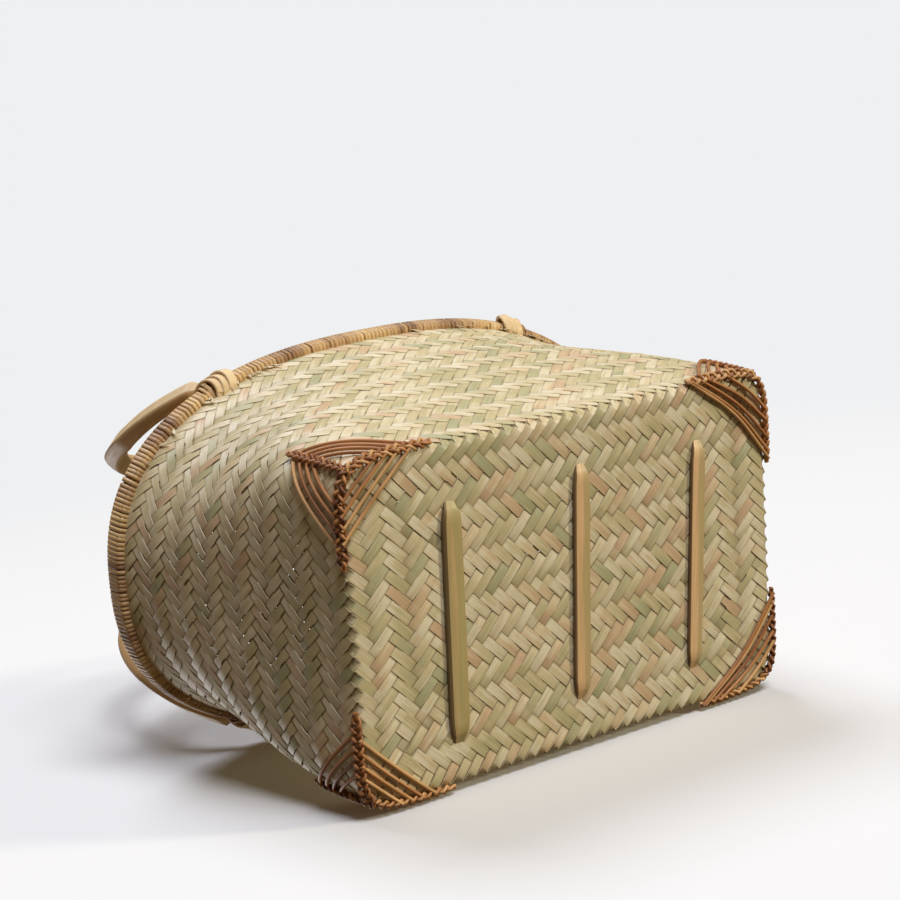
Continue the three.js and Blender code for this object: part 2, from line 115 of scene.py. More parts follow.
class Nodes:
    """Short forms for building a tree of nodes."""

    def __init__(self, tree):
        self.tree = tree
        self.nodes = tree.nodes
        self.links = tree.links

    def add(self, kind, inputs=None, **settings):
        node = self.nodes.new(kind)
        for key, value in settings.items():
            setattr(node, key, value)
        for key, value in (inputs or {}).items():
            if isinstance(value, bpy.types.NodeSocket):
                self.links.new(value, node.inputs[key])
            else:
                node.inputs[key].default_value = value
        return node

    def made(self, kind, inputs=None, **settings):
        """The first output of a new node."""
        return self.add(kind, inputs, **settings).outputs[0]

    def math(self, operation, first, second=0.0):
        return self.made("ShaderNodeMath", {0: first, 1: second}, operation=operation)

    def times(self, first, second):
        return self.math("MULTIPLY", first, second)

    def plus(self, first, second):
        return self.math("ADD", first, second)

    def vectors(self, operation, first, second):
        return self.made("ShaderNodeVectorMath", {0: first, 1: second}, operation=operation)

    def scaled(self, vector, scale):
        return self.made("ShaderNodeVectorMath", {0: vector, "Scale": scale}, operation="SCALE")

    def distance(self, place):
        return self.add("ShaderNodeVectorMath", {0: place}, operation="LENGTH").outputs["Value"]

    def attribute(self, name, output="Fac"):
        return self.add("ShaderNodeAttribute", attribute_name=name).outputs[output]

    def between(self, value, low, high, to_low, to_high, kind="LINEAR"):
        """A value taken from one span to another, held at both ends."""
        return self.made("ShaderNodeMapRange", {
            "Value": value, "From Min": low, "From Max": high, "To Min": to_low, "To Max": to_high},
            interpolation_type=kind)


world = bpy.data.worlds.new("studio")
bpy.context.scene.world = world
world.use_nodes = True
world.node_tree.nodes.clear()
w = Nodes(world.node_tree)
lit = w.made("ShaderNodeBackground", {"Color": world_colour, "Strength": world_strength})
seen = w.made("ShaderNodeBackground", {"Color": backdrop_white, "Strength": 1})
to_camera = w.add("ShaderNodeLightPath").outputs["Is Camera Ray"]
chosen = w.made("ShaderNodeMixShader", {"Fac": to_camera, 1: lit, 2: seen})
w.add("ShaderNodeOutputWorld", {"Surface": chosen})


def floor_material():
    """A plain pale floor that only the camera sees, from above, and that fades out far away."""
    material = bpy.data.materials.new("pale_floor")
    material.use_nodes = True
    material.node_tree.nodes.clear()
    m = Nodes(material.node_tree)
    distance = m.distance(m.add("ShaderNodeTexCoord").outputs["Object"])
    fade = m.between(distance, floor_fade_start, floor_fade_end, 1, 0, "SMOOTHSTEP")
    above = m.math("SUBTRACT", 1, m.add("ShaderNodeNewGeometry").outputs["Backfacing"])
    shown = m.times(above, m.add("ShaderNodeLightPath").outputs["Is Camera Ray"])
    clear = m.made("ShaderNodeBsdfTransparent")
    surface = m.made("ShaderNodeBsdfDiffuse", {"Color": floor_colour})
    mixed = m.made("ShaderNodeMixShader", {"Fac": m.times(shown, fade), 1: clear, 2: surface})
    m.add("ShaderNodeOutputMaterial", {"Surface": mixed})
    return material


def add_floor(name, low_point, high_point, material):
    """A square through two points that lie across it, its upper side on the left of them."""
    middle = (low_point + high_point) / 2
    across = (high_point - low_point).normalized() * floor_reach
    side = Vector((floor_reach, 0, 0))
    corners = [middle - side - across, middle + side - across, middle + side + across, middle - side + across]
    mesh = bpy.data.meshes.new(name)
    mesh.from_pydata([corner[:] for corner in corners], [], [(0, 1, 2, 3)])
    mesh.materials.append(material)
    floor = linked(name, mesh)


pale_floor = floor_material()
rim_low, rim_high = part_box("rim_winding_back")
foot_low, foot_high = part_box("corner_lacing_back_left")
lying_foot = Vector((0, foot_high[1] + floor_gap, foot_low[2]))
lying_rim = Vector((0, rim_high[1] + floor_gap, (rim_low[2] + rim_high[2]) / 2))
add_floor("lying_floor", lying_foot, lying_rim, pale_floor)
add_floor("standing_floor", Vector((0, -1, cad_low[2])), Vector((0, 1, cad_low[2])), pale_floor)

# Woven body: a twill of split bamboo at 45 degrees, base and walls in one. Every splint runs up
# one wall from the rim, across the base and up another wall. It goes over three and under three,
# and the turn of the pattern makes herringbone bands that run round the walls and, mitred at the
# corners, round the base.
base_length = 0.300
base_depth = 0.196
mouth_length = 0.376
mouth_depth = 0.237
rim_rise = 0.1995
wall_thickness = 0.0018
base_under = 0.0027
base_middle = base_under + wall_thickness / 2
base_squareness = 14
mouth_squareness = 2.43
squareness_fall = 2.8
edge_bend = 0.0031
steps_x = 34
steps_y = 22
steps_round = 4 * (steps_x + steps_y)
steps_up = 46
steps_end = 47
band_steps = 3
left_column_steps = 15
right_column_steps = 12
splint_width = 0.0063
splint_thickness = 0.0006
step_up = rim_rise / steps_up
corner_draw = 8
half_hold = 0.33
lift_spread = 0.07
turning_lift = 0.7


def wall_outline(rise):
    """Half-axes and exponent of the wall's outline at a rise above the base's underside."""
    share = rise / rim_rise
    fall = np.maximum(0, 1 - share) ** squareness_fall
    a = base_length / 2 + (mouth_length - base_length) / 2 * share
    b = base_depth / 2 + (mouth_depth - base_depth) / 2 * share
    n = mouth_squareness + (base_squareness - mouth_squareness) * fall
    return a, b, n


def wall_at_turn(turn, rise, offset=0.0):
    """Points of the wall at a turn and a rise, moved out from its middle by an offset."""
    a, b, n = wall_outline(rise)
    c = np.cos(turn)
    s = np.sin(turn)
    reach = (np.abs(c) ** n + np.abs(s) ** n) ** (-1 / n)
    normal_x = np.sign(c) * np.abs(reach * c) ** (n - 1) / a
    normal_y = np.sign(s) * np.abs(reach * s) ** (n - 1) / b
    size = np.hypot(normal_x, normal_y)
    x = a * reach * c + offset * normal_x / size
    y = b * reach * s + offset * normal_y / size
    return np.stack(np.broadcast_arrays(x, y, base_under + rise), axis=-1)


def unit(vectors):
    return vectors / np.linalg.norm(vectors, axis=-1, keepdims=True)


def path_run(places):
    """The length along a path at each of its places."""
    return np.concatenate([[0], np.cumsum(np.linalg.norm(np.diff(places, axis=0), axis=1))])


# Turn of the outline at each share of its length, at a row of rises, so that splints can be
# spaced evenly round the wall at any height
turn_rises = np.linspace(0, rim_rise * 1.06, 70)
turn_shares = np.linspace(0, 1, 1441)
turn_fine = np.linspace(0, 2 * math.pi, 8001)
turn_table = []
for table_rise in turn_rises:
    outline = wall_at_turn(turn_fine, np.full(turn_fine.shape, table_rise))
    lengths = path_run(outline)
    turn_table.append(np.interp(turn_shares, lengths / lengths[-1], turn_fine))
turn_table = np.array(turn_table)


def wall_at_share(share, rise, offset=0.0):
    """Points of the wall at a share of the way round, from the middle of the +X end."""
    share = share - np.floor(share)
    level = np.clip(rise / turn_rises[1], 0, len(turn_rises) - 1.001)
    column = np.clip(share * (len(turn_shares) - 1), 0, len(turn_shares) - 1.001)
    level_low = level.astype(int)
    column_low = column.astype(int)
    level_part = level - level_low
    column_part = column - column_low

    def turn_at(row):
        return turn_table[row, column_low] * (1 - column_part) + turn_table[row, column_low + 1] * column_part

    turn = turn_at(level_low) * (1 - level_part) + turn_at(level_low + 1) * level_part
    return wall_at_turn(turn, rise, offset)


def wall_surface(around, up):
    """Places and outward directions on the walls, at steps round from the +X end and steps up."""
    rise = np.maximum(up, 0) * step_up
    nudge = 0.02
    place = wall_at_share(around / steps_round, rise)
    along = (wall_at_share((around + nudge) / steps_round, rise)
             - wall_at_share((around - nudge) / steps_round, rise))
    climb = wall_at_share(around / steps_round, rise + nudge * step_up) - place
    return place, unit(np.cross(along, climb))


def edge_around(x_steps, y_steps):
    """Steps round the base's edge of lattice points that lie on it."""
    half_round = 2 * (steps_x + steps_y)
    on_end = np.abs(x_steps) / steps_x > np.abs(y_steps) / steps_y
    end = np.where(x_steps > 0, y_steps, half_round - y_steps)
    side = np.where(y_steps > 0, half_round * 0.5 - x_steps, half_round * 1.5 + x_steps)
    return np.where(on_end, end, side)


def base_surface(x_steps, y_steps):
    """Places on the base, whose square lattice is drawn in at the rounded corners."""
    part = np.maximum(np.abs(x_steps) / steps_x, np.abs(y_steps) / steps_y)
    scale = 1 / np.maximum(part, 1e-6)
    edge_x = x_steps * scale
    edge_y = y_steps * scale
    edge = wall_at_share(edge_around(edge_x, edge_y) / steps_round, np.zeros(part.shape))
    pulled = part ** corner_draw
    x_step = base_length / 2 / steps_x
    y_step = base_depth / 2 / steps_y
    x = x_steps * x_step + (edge[..., 0] - edge_x * x_step) * pulled
    y = y_steps * y_step + (edge[..., 1] - edge_y * y_step) * pulled
    return np.stack([x, y, np.full(x.shape, base_middle)], axis=-1)


def bend_at_edge(place, outward, run):
    """Rounds the corner between base and wall. run is the length up the wall, below 0 on the base."""
    share = np.clip((run + edge_bend) / (2 * edge_bend), 0, 1)
    turn = share * math.pi / 2
    near = np.abs(run) < edge_bend
    flat = outward * [1, 1, 0]
    flat = unit(np.where(np.linalg.norm(flat, axis=-1, keepdims=True) > 1e-6, flat, [1, 0, 0]))
    inward = np.where(near, edge_bend * (1 - np.sin(turn)) - np.maximum(-run, 0), 0)
    lift = np.where(near, edge_bend * (1 - np.cos(turn)) - np.maximum(run, 0), 0)
    bent = place - flat * inward[..., None] + np.array([0, 0, 1]) * lift[..., None]
    down = np.array([0, 0, -1.0])
    facing = unit(flat * np.sin(turn)[..., None] + down * np.cos(turn)[..., None])
    return bent, np.where((run < edge_bend)[..., None], facing, outward)


def shown_outside(row):
    """True where the splints that climb to the left round the walls lie outside, by crossing row.
    Rows count up the walls from 0 at the base's edge, and down below 0 across the base."""
    return (row + band_steps - 1) % (2 * band_steps) < band_steps


def base_row(x_steps, y_steps):
    """Depth in steps from the base's edge, and whether the point is in an end's columns."""
    from_end = steps_x - abs(x_steps)
    from_side = steps_y - abs(y_steps)
    limit = left_column_steps if x_steps < 0 else right_column_steps
    if from_end < from_side and from_end < limit:
        return from_end, True
    if from_side < band_steps * 2 or from_end < limit:
        return from_side, False
    return steps_y + y_steps, False


def lay_splints(slope):
    """All the splints of one way: slope 1 follows x + y on the base, slope -1 follows x - y. Each is
    its crossings in order: 0 on a wall or 1 on the base, two steps, and whether it lies outside."""
    splints = []
    reach = steps_x + steps_y - 1
    for line in range(-reach, reach + 1, 2):
        first = max(-steps_x, line - steps_y)
        last = min(steps_x, line + steps_y)
        crossings = [(x_steps, slope * (line - x_steps)) for x_steps in range(first, last + 1)]
        climbs = []
        for x_steps, y_steps in (crossings[0], crossings[-1]):
            leftward = (slope > 0) != (abs(x_steps) == steps_x)
            start = float(edge_around(x_steps, y_steps))
            climbs.append([(0, start + up if leftward else start - up, up, leftward == shown_outside(up))
                           for up in range(1, steps_end + 1)])
        floor = []
        for x_steps, y_steps in crossings:
            depth, column = base_row(x_steps, y_steps)
            leftward = (slope > 0) != column
            floor.append((1, x_steps, y_steps, leftward == shown_outside(-depth)))
        splints.append(climbs[0][::-1] + floor + climbs[1])
    return splints


def splint_points(rows, chance):
    """Two points for each crossing, with lift -1 inside to 1 outside, bulging in mid-float."""
    count = len(rows)
    kind, first, second, outside = np.array(rows, dtype=float).T
    lift = np.where(outside, 1.0, -1.0)
    inner = np.convolve(np.pad(lift, 1, mode="edge"), [0.5, 0, 0.5], mode="valid")
    bulge = 1.02 + 0.42 * (inner * lift)
    on_wall = (kind == 0)[:, None]
    on_end = np.abs(first) / steps_x > np.abs(second) / steps_y
    away = np.stack([np.where(on_end, np.sign(first), 0), np.where(on_end, 0, np.sign(second)),
                     np.zeros(count)], axis=-1)
    places = []
    for side in (-1, 1):
        near = np.clip(np.arange(count) + side, 0, count - 1)
        other = np.clip(np.arange(count) - side, 0, count - 1)
        same = kind[near] == kind
        # Next to the base's edge the step goes on along the splint's own line
        at_first = first + half_hold * np.where(same, first[near] - first, first - first[other])
        at_second = second + half_hold * np.where(same, second[near] - second, second - second[other])
        wall_place, wall_out = wall_surface(at_first, at_second)
        wall_place, wall_out = bend_at_edge(wall_place, wall_out, at_second * step_up)
        base_place = base_surface(np.clip(at_first, -steps_x, steps_x), np.clip(at_second, -steps_y, steps_y))
        run = np.maximum(np.abs(at_first) - steps_x, np.abs(at_second) - steps_y) * step_up
        base_place[:, 2] += np.maximum(run, 0)
        base_place, base_out = bend_at_edge(base_place, away, run)
        places.append((np.where(on_wall, wall_place, base_place), np.where(on_wall, wall_out, base_out)))
    place, out = (np.stack(pair, axis=1).reshape(-1, 3) for pair in zip(*places))
    lifts = np.repeat(lift * bulge, 2) * (1 + chance.normal(0, lift_spread, 2 * count))
    ease = np.stack([np.where(np.roll(lift, way) == lift, 1.0, turning_lift) for way in (1, -1)], axis=1)
    return place, out, lifts * ease.reshape(-1)


def path_mesh(name, runs):
    """A mesh of open paths for a sweep. Each run is places, outward directions and a dict of
    further numbers: lift along the outward direction, shares of the sweep's width (wide) and
    thickness (thin), a tone for the colour and the number of the splint."""
    usual = {"lift": 0.0, "wide": 1.0, "thin": 1.0, "tone": 0.5, "splint": 0.0}
    places = np.concatenate([run[0] for run in runs])
    outward = np.concatenate([run[1] for run in runs])
    edges = []
    start = 0
    for run in runs:
        edges += [(start + k, start + k + 1) for k in range(len(run[0]) - 1)]
        start += len(run[0])
    mesh = bpy.data.meshes.new(name)
    mesh.from_pydata(places.tolist(), edges, [])
    vector = mesh.attributes.new("outward", "FLOAT_VECTOR", "POINT")
    vector.data.foreach_set("vector", outward.astype(np.float32).reshape(-1))
    for key, value in usual.items():
        values = np.concatenate([np.broadcast_to(run[2].get(key, value), len(run[0])) for run in runs])
        attribute = mesh.attributes.new(key, "FLOAT", "POINT")
        attribute.data.foreach_set("value", values.astype(np.float32))
    return mesh


class Tree(Nodes):
    """A node group with inputs and outputs of its own."""

    def __init__(self, name, kind):
        super().__init__(bpy.data.node_groups.new(name, kind))
        self.source = self.nodes.new("NodeGroupInput")
        self.result = self.nodes.new("NodeGroupOutput")

    def sockets(self, way, kind, values):
        """Inputs or outputs of one kind, each with its name and its usual value."""
        for name, value in values.items():
            socket = self.tree.interface.new_socket(name, in_out=way, socket_type=kind)
            if value is not None:
                socket.default_value = value

    def store(self, geometry, name, value, kind="FLOAT"):
        return self.made("GeometryNodeStoreNamedAttribute", {
            "Geometry": geometry, "Name": name, "Value": value}, data_type=kind, domain="POINT")

    def named(self, name, kind="FLOAT"):
        node = self.add("GeometryNodeInputNamedAttribute", {"Name": name}, data_type=kind)
        return node.outputs["Attribute"]


def strip_tree():
    """A flat split strip swept along each path. It stands off by the path's lift, wavers a
    little and varies in width, and carries its length and its width for the grain."""
    vector = "FLOAT_VECTOR"
    waver_scale = 28.0
    strip_shift = 0.37
    t = Tree("split strip", "GeometryNodeTree")
    t.sockets("INPUT", "NodeSocketGeometry", {"Geometry": None})
    t.sockets("INPUT", "NodeSocketFloat", {
        "Width": 0.005, "Thickness": 0.001, "Edge share": 0.84, "Lift": 0.0, "Waver": 0.0,
        "Width spread": 0.0, "Crisp angle": 3.2})
    t.sockets("INPUT", "NodeSocketInt", {"Sides": 6, "Seed": 0})
    t.sockets("INPUT", "NodeSocketMaterial", {"Material": None})
    t.sockets("OUTPUT", "NodeSocketGeometry", {"Geometry": None})
    given = t.source.outputs
    outward = t.named("outward", vector)
    splint = t.named("splint")
    rise = t.scaled(outward, t.times(t.named("lift"), given["Lift"]))
    # The waver is a slow noise along each strip, different for every strip and each way across
    shifted = t.made("ShaderNodeCombineXYZ", {"X": splint, "Y": splint, "Z": given["Seed"]})
    moved = t.vectors("ADD", t.made("GeometryNodeInputPosition"), t.scaled(shifted, strip_shift))
    noise = t.add("ShaderNodeTexNoise", {"Vector": moved, "Scale": waver_scale, "Detail": 1.0})
    centred = t.vectors("SUBTRACT", noise.outputs["Color"], (0.5, 0.5, 0.5))
    off_line = t.vectors("ADD", rise, t.scaled(centred, given["Waver"]))
    lifted = t.made("GeometryNodeSetPosition", {"Geometry": given["Geometry"], "Offset": off_line})
    curve = t.made("GeometryNodeMeshToCurve", {"Mesh": lifted})
    turned = t.made("GeometryNodeSetCurveNormal", {"Curve": curve, "Normal": outward}, mode="FREE")
    shown = t.store(turned, "along", t.add("GeometryNodeSplineParameter").outputs["Length"])
    # The strip's own axes are kept on its path, so that its width and thickness can vary apart
    normal = t.made("GeometryNodeInputNormal")
    side = t.vectors("CROSS_PRODUCT", t.made("GeometryNodeInputTangent"), normal)
    middle = t.made("GeometryNodeInputPosition")
    for name, value in (("middle", middle), ("up_way", normal), ("side_way", side)):
        shown = t.store(shown, name, value, vector)
    # The section is a ring of sides, wide and flat in the middle by the edge share
    ring = t.made("GeometryNodeCurvePrimitiveCircle", {"Resolution": given["Sides"], "Radius": 1.0})
    parts = t.add("ShaderNodeSeparateXYZ", {0: t.made("GeometryNodeInputPosition")}).outputs
    spared = t.times(t.math("ABSOLUTE", parts["Y"]), given["Edge share"])
    widened = t.times(parts["X"], t.plus(spared, 1.0))
    held = t.math("MAXIMUM", t.math("MINIMUM", widened, 1.0), -1.0)
    section = t.made("ShaderNodeCombineXYZ", {"X": parts["Y"], "Y": held})
    half_width = t.times(given["Width"], 0.5)
    profile = t.store(ring, "deep", parts["Y"])
    profile = t.store(profile, "across", t.times(held, half_width))
    shaped = t.made("GeometryNodeSetPosition", {"Geometry": profile, "Position": section})
    swept = t.made("GeometryNodeCurveToMesh", {"Curve": shown, "Profile Curve": shaped, "Fill Caps": True})
    random = t.add("FunctionNodeRandomValue", {
        "Min": t.math("SUBTRACT", 1.0, given["Width spread"]),
        "Max": t.plus(1.0, given["Width spread"]),
        "ID": t.made("FunctionNodeFloatToInt", {0: splint}), "Seed": given["Seed"]}, data_type="FLOAT")
    broad = t.times(random.outputs["Value"], t.named("wide"))
    half_thickness = t.times(given["Thickness"], 0.5)
    out_by = t.times(t.named("deep"), t.times(half_thickness, t.named("thin")))
    side_by = t.times(t.named("across"), broad)
    off = t.vectors(
        "ADD", t.scaled(t.named("up_way", vector), out_by), t.scaled(t.named("side_way", vector), side_by))
    final = t.vectors("ADD", t.named("middle", vector), off)
    swept = t.made("GeometryNodeSetPosition", {"Geometry": swept, "Position": final})
    for name in ("middle", "up_way", "deep"):
        swept = t.made("GeometryNodeRemoveAttribute", {"Geometry": swept, "Name": name})
    smooth = t.made("GeometryNodeSetShadeSmooth", {"Geometry": swept})
    angle = t.add("GeometryNodeInputMeshEdgeAngle").outputs["Unsigned Angle"]
    sharp = t.made("FunctionNodeCompare", {0: angle, 1: given["Crisp angle"]}, operation="GREATER_THAN")
    crisp = t.made("GeometryNodeSetShadeSmooth", {
        "Geometry": smooth, "Selection": sharp, "Shade Smooth": False}, domain="EDGE")
    real = t.made("GeometryNodeRealizeInstances", {"Geometry": crisp})
    dressed = t.made("GeometryNodeSetMaterial", {"Geometry": real, "Material": given["Material"]})
    t.links.new(dressed, t.result.inputs[0])
    return t.tree


strip = strip_tree()


def grow(name, runs, values):
    """The swept strips along some runs, as a plain mesh in a new object at the origin."""
    carrier = linked(name + "_path", path_mesh(name + "_path", runs))
    modifier = carrier.modifiers.new("grow", "NODES")
    modifier.node_group = strip
    for item in strip.interface.items_tree:
        if item.item_type == "SOCKET" and item.in_out == "INPUT" and item.name in values:
            modifier[item.identifier] = values[item.name]
    view = bpy.context.evaluated_depsgraph_get()
    grown = bpy.data.meshes.new_from_object(carrier.evaluated_get(view))
    grown.name = name
    bpy.data.objects.remove(carrier)
    return linked(name, grown)


def srgb(red, green, blue):
    """A colour written as it shows on a screen, from 0 to 255, as the shader wants it."""
    parts = np.array([red, green, blue]) / 255
    linear = np.where(parts <= 0.04045, parts / 12.92, ((parts + 0.055) / 1.055) ** 2.4)
    return tuple(linear.tolist()) + (1.0,)


def fibre_group():
    """The fibres of split bamboo, cane and peel: fine streaks along the strip, and slow patches."""
    apart = 7.31
    patch_fibres = 6.0
    g = Tree("split fibres", "ShaderNodeTree")
    g.sockets("INPUT", "NodeSocketFloat", {
        "Fibre width": 0.0004, "Streak length": 0.02, "Patch length": 0.05})
    g.sockets("OUTPUT", "NodeSocketFloat", {"Fibre": None, "Patch": None, "Height": None})
    given = g.source.outputs
    set_off = g.times(g.attribute("splint"), apart)
    patch_width = g.times(given["Fibre width"], patch_fibres)
    grains = []
    for width, length, look in ((given["Fibre width"], "Streak length", {"Detail": 3.0, "Roughness": 0.65}),
                                (patch_width, "Patch length", {"Detail": 2.0})):
        along = g.plus(g.math("DIVIDE", g.attribute("along"), given[length]), set_off)
        place = g.made("ShaderNodeCombineXYZ", {
            "X": g.math("DIVIDE", g.attribute("across"), width), "Y": along, "Z": set_off})
        grains.append(g.add("ShaderNodeTexNoise", {"Vector": place, "Scale": 1.0, **look}).outputs["Fac"])
    height = g.plus(grains[0], g.times(grains[1], 0.5))
    for name, value in (("Fibre", grains[0]), ("Patch", grains[1]), ("Height", height)):
        g.links.new(value, g.result.inputs[name])
    return g.tree


fibres = fibre_group()


class Finish(Nodes):
    """Short forms for a material whose shader stays in the material itself."""

    def __init__(self, name, shine):
        self.material = bpy.data.materials.new(name)
        self.material.use_nodes = True
        super().__init__(self.material.node_tree)
        self.nodes.clear()
        self.shader = self.add("ShaderNodeBsdfPrincipled", {"Specular IOR Level": shine})
        self.add("ShaderNodeOutputMaterial", {"Surface": self.shader.outputs[0]})

    def fibres(self, width, streak, patch):
        """The fibres' streaks, patches and relief, by the width of a fibre and two lengths."""
        return self.add("ShaderNodeGroup", {
            "Fibre width": width, "Streak length": streak, "Patch length": patch}, node_tree=fibres).outputs

    def ramp(self, value, stops):
        """A colour by value. Each stop is a position and a colour as it shows on a screen."""
        node = self.add("ShaderNodeValToRGB", {"Fac": value})
        elements = node.color_ramp.elements
        node.color_ramp.interpolation = "EASE"
        while len(elements) < len(stops):
            elements.new(1.0)
        for element, (position, *colour) in zip(elements, stops):
            element.position = position
            element.color = srgb(*colour)
        return node.outputs["Color"]

    def mix(self, factor, first, second):
        """The first colour, covered by the second as far as the factor says."""
        return self.add("ShaderNodeMix", {0: factor, 6: first, 7: second}, data_type="RGBA").outputs[2]

    def wear(self, colour, roughness, height, depth, strength=0.5):
        """The finished surface: its colour, its roughness and the relief of its fibres."""
        bump = self.made("ShaderNodeBump", {"Height": height, "Distance": depth, "Strength": strength})
        for name, value in (("Base Color", colour), ("Roughness", roughness), ("Normal", bump)):
            self.links.new(value, self.shader.inputs[name])
        return self.material


def splint_finish():
    """Dry split bamboo: straw, with some splints green, tan or pink, streaked, with painted shade along the
    edges and where a splint dives under.
    """
    f = Finish("straw_splints", 0.6)
    made = f.fibres(0.0004, 0.03, 0.03)
    shade = srgb(118, 96, 56)
    drift = f.plus(f.attribute("tone"), f.between(made["Patch"], 0.3, 0.7, -0.14, 0.14))
    # Slow blotches run over neighbouring splints, where the bamboo has aged and been handled
    place = f.add("ShaderNodeTexCoord").outputs["Object"]
    blotch = f.add("ShaderNodeTexNoise", {"Vector": place, "Scale": 26.0, "Detail": 2.0}).outputs["Fac"]
    drift = f.plus(drift, f.between(blotch, 0.3, 0.7, -0.16, 0.16))
    straw = f.ramp(drift, [
        (0.0, 176, 171, 127), (0.12, 185, 177, 131), (0.28, 197, 181, 133), (0.45, 211, 193, 148),
        (0.62, 227, 213, 176), (0.78, 219, 195, 152), (0.90, 212, 182, 140), (1.0, 206, 172, 132)])
    streaked = f.mix(f.between(made["Fibre"], 0.4, 0.7, 0.0, 0.3), straw, srgb(150, 130, 86))
    pale = f.mix(f.between(made["Fibre"], 0.42, 0.28, 0.0, 0.4), streaked, srgb(238, 228, 200))
    # Painted shade along both edges of every splint, where the gaps between splints lie dark
    from_middle = f.math("ABSOLUTE", f.attribute("across"))
    shade_painted = f.mix(f.between(from_middle, 0.0022, 0.0031, 0.0, 0.16), pale, shade)
    # Painted shade where a splint dives under its neighbours: darker as its lift falls to nothing
    dive_shade = f.between(f.math("ABSOLUTE", f.attribute("lift")), 0.1, 0.8, 0.7, 0.0)
    shade_painted = f.mix(dive_shade, shade_painted, shade)
    rough = f.between(made["Fibre"], 0.3, 0.7, 0.42, 0.6)
    # The sheen is drawn out across the fibres, so the two ways of the twill catch the light apart
    f.shader.inputs["Anisotropic"].default_value = 0.85
    f.links.new(f.attribute("side_way", "Vector"), f.shader.inputs["Tangent"])
    f.shader.inputs["Sheen Weight"].default_value = 0.08
    f.shader.inputs["Sheen Roughness"].default_value = 0.4
    return f.wear(shade_painted, rough, made["Height"], 0.0002, 0.55)


straw_splints = splint_finish()
usual_tone = 0.48
tone_spread = 0.13
float_spread = 0.08
odd_share = 0.07
thin_width = 0.76
thin_share_left = 0.15
thin_share = 0.006
thin_from_row = 5
chance = np.random.default_rng(4)
for piece_name, slope in (("splints_one_way", 1), ("splints_other_way", -1)):
    runs = []
    for number, rows in enumerate(lay_splints(slope)):
        place, out, lifts = splint_points(rows, chance)
        tone = float(np.clip(chance.normal(usual_tone, tone_spread), 0.22, 0.72))
        # A few splints are green, and a few tan or pink
        if chance.random() < odd_share:
            tone = float(chance.uniform(0.04, 0.18))
        elif chance.random() < odd_share:
            tone = float(chance.uniform(0.8, 0.98))
        floats = np.repeat(chance.normal(0, float_spread, len(rows) // 3 + 1), 3)[:len(rows)]
        # Here and there a splint is split thin, mostly in the left end, and light shows through
        left_end = [kind == 0 and abs(around - 2 * (steps_x + steps_y)) < steps_y and up > thin_from_row
                    for kind, around, up, outside in rows]
        thin = np.where(chance.random(len(rows)) < np.where(left_end, thin_share_left, thin_share),
                        thin_width, 1.0)
        runs.append((place, out, {"lift": lifts, "tone": np.clip(tone + np.repeat(floats, 2), 0, 1),
                                  "wide": np.repeat(thin, 2), "splint": number}))
    piece = grow(piece_name, runs, {
        "Width": splint_width, "Thickness": splint_thickness, "Edge share": 1.0, "Sides": 6,
        "Lift": splint_thickness * 0.8, "Waver": 0.0006, "Width spread": 0.03, "Seed": 5 + slope,
        "Crisp angle": 0.6, "Material": straw_splints})
    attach(piece, "basket")
    if slope == 1:
        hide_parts("woven_body")

# Rim hoops and top cane: split cane bent round both sides of the wall's edge, and a round cane in
# the groove between them. They show only between the turns of the winding, so the CAD solids stay.
def solid_cane_finish():
    """Split cane on the CAD hoops: long brown fibres that follow the rim round."""
    fibres_a_metre = 1500.0
    f = Finish("rim_cane", 0.5)
    place = f.add("ShaderNodeTexCoord").outputs["Object"]
    parts = f.add("ShaderNodeSeparateXYZ", {0: place}).outputs
    along = f.made("ShaderNodeCombineXYZ", {
        "X": f.times(f.math("ARCTAN2", parts["Y"], parts["X"]), 6.0),
        "Y": f.times(f.distance(place), fibres_a_metre),
        "Z": f.times(parts["Z"], fibres_a_metre)})
    streak = f.add("ShaderNodeTexNoise", {"Vector": along, "Scale": 1.0, "Detail": 3.0}).outputs["Fac"]
    colour = f.ramp(streak, [(0.3, 128, 88, 44), (0.55, 168, 124, 70), (0.75, 192, 152, 94)])
    return f.wear(colour, f.between(streak, 0.3, 0.7, 0.42, 0.6), streak, 0.0003)


rim_cane = solid_cane_finish()
for node_name in ("rim_hoop_outer", "rim_hoop_inner", "rim_top_cane"):
    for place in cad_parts[node_name].material_slots:
        place.material = rim_cane


def rattan_finish(name, stops, dark, width, depth, painted_side_highlight=None):
    """Rattan peel, cane or thin rattan: a colour by tone, streaked along with a darker one. Where a
    side colour is given, the cane's sides are painted in it: a painted highlight for its lit edge."""
    f = Finish(name, 0.42)
    made = f.fibres(width, 0.018, 0.03)
    base = f.ramp(f.plus(f.attribute("tone"), f.between(made["Patch"], 0.3, 0.7, -0.12, 0.12)), stops)
    if painted_side_highlight:
        from_middle = f.math("ABSOLUTE", f.attribute("across"))
        # Painted highlight: both sides of the cane are painted paler, standing in for its lit upper edge
        base = f.mix(f.between(from_middle, 0.0043, 0.0050, 0.0, 0.9), base, painted_side_highlight)
    streaked = f.mix(f.between(made["Fibre"], 0.38, 0.72, 0.0, 0.45), base, dark)
    return f.wear(streaked, f.between(made["Fibre"], 0.3, 0.7, 0.36, 0.55), made["Height"], depth)


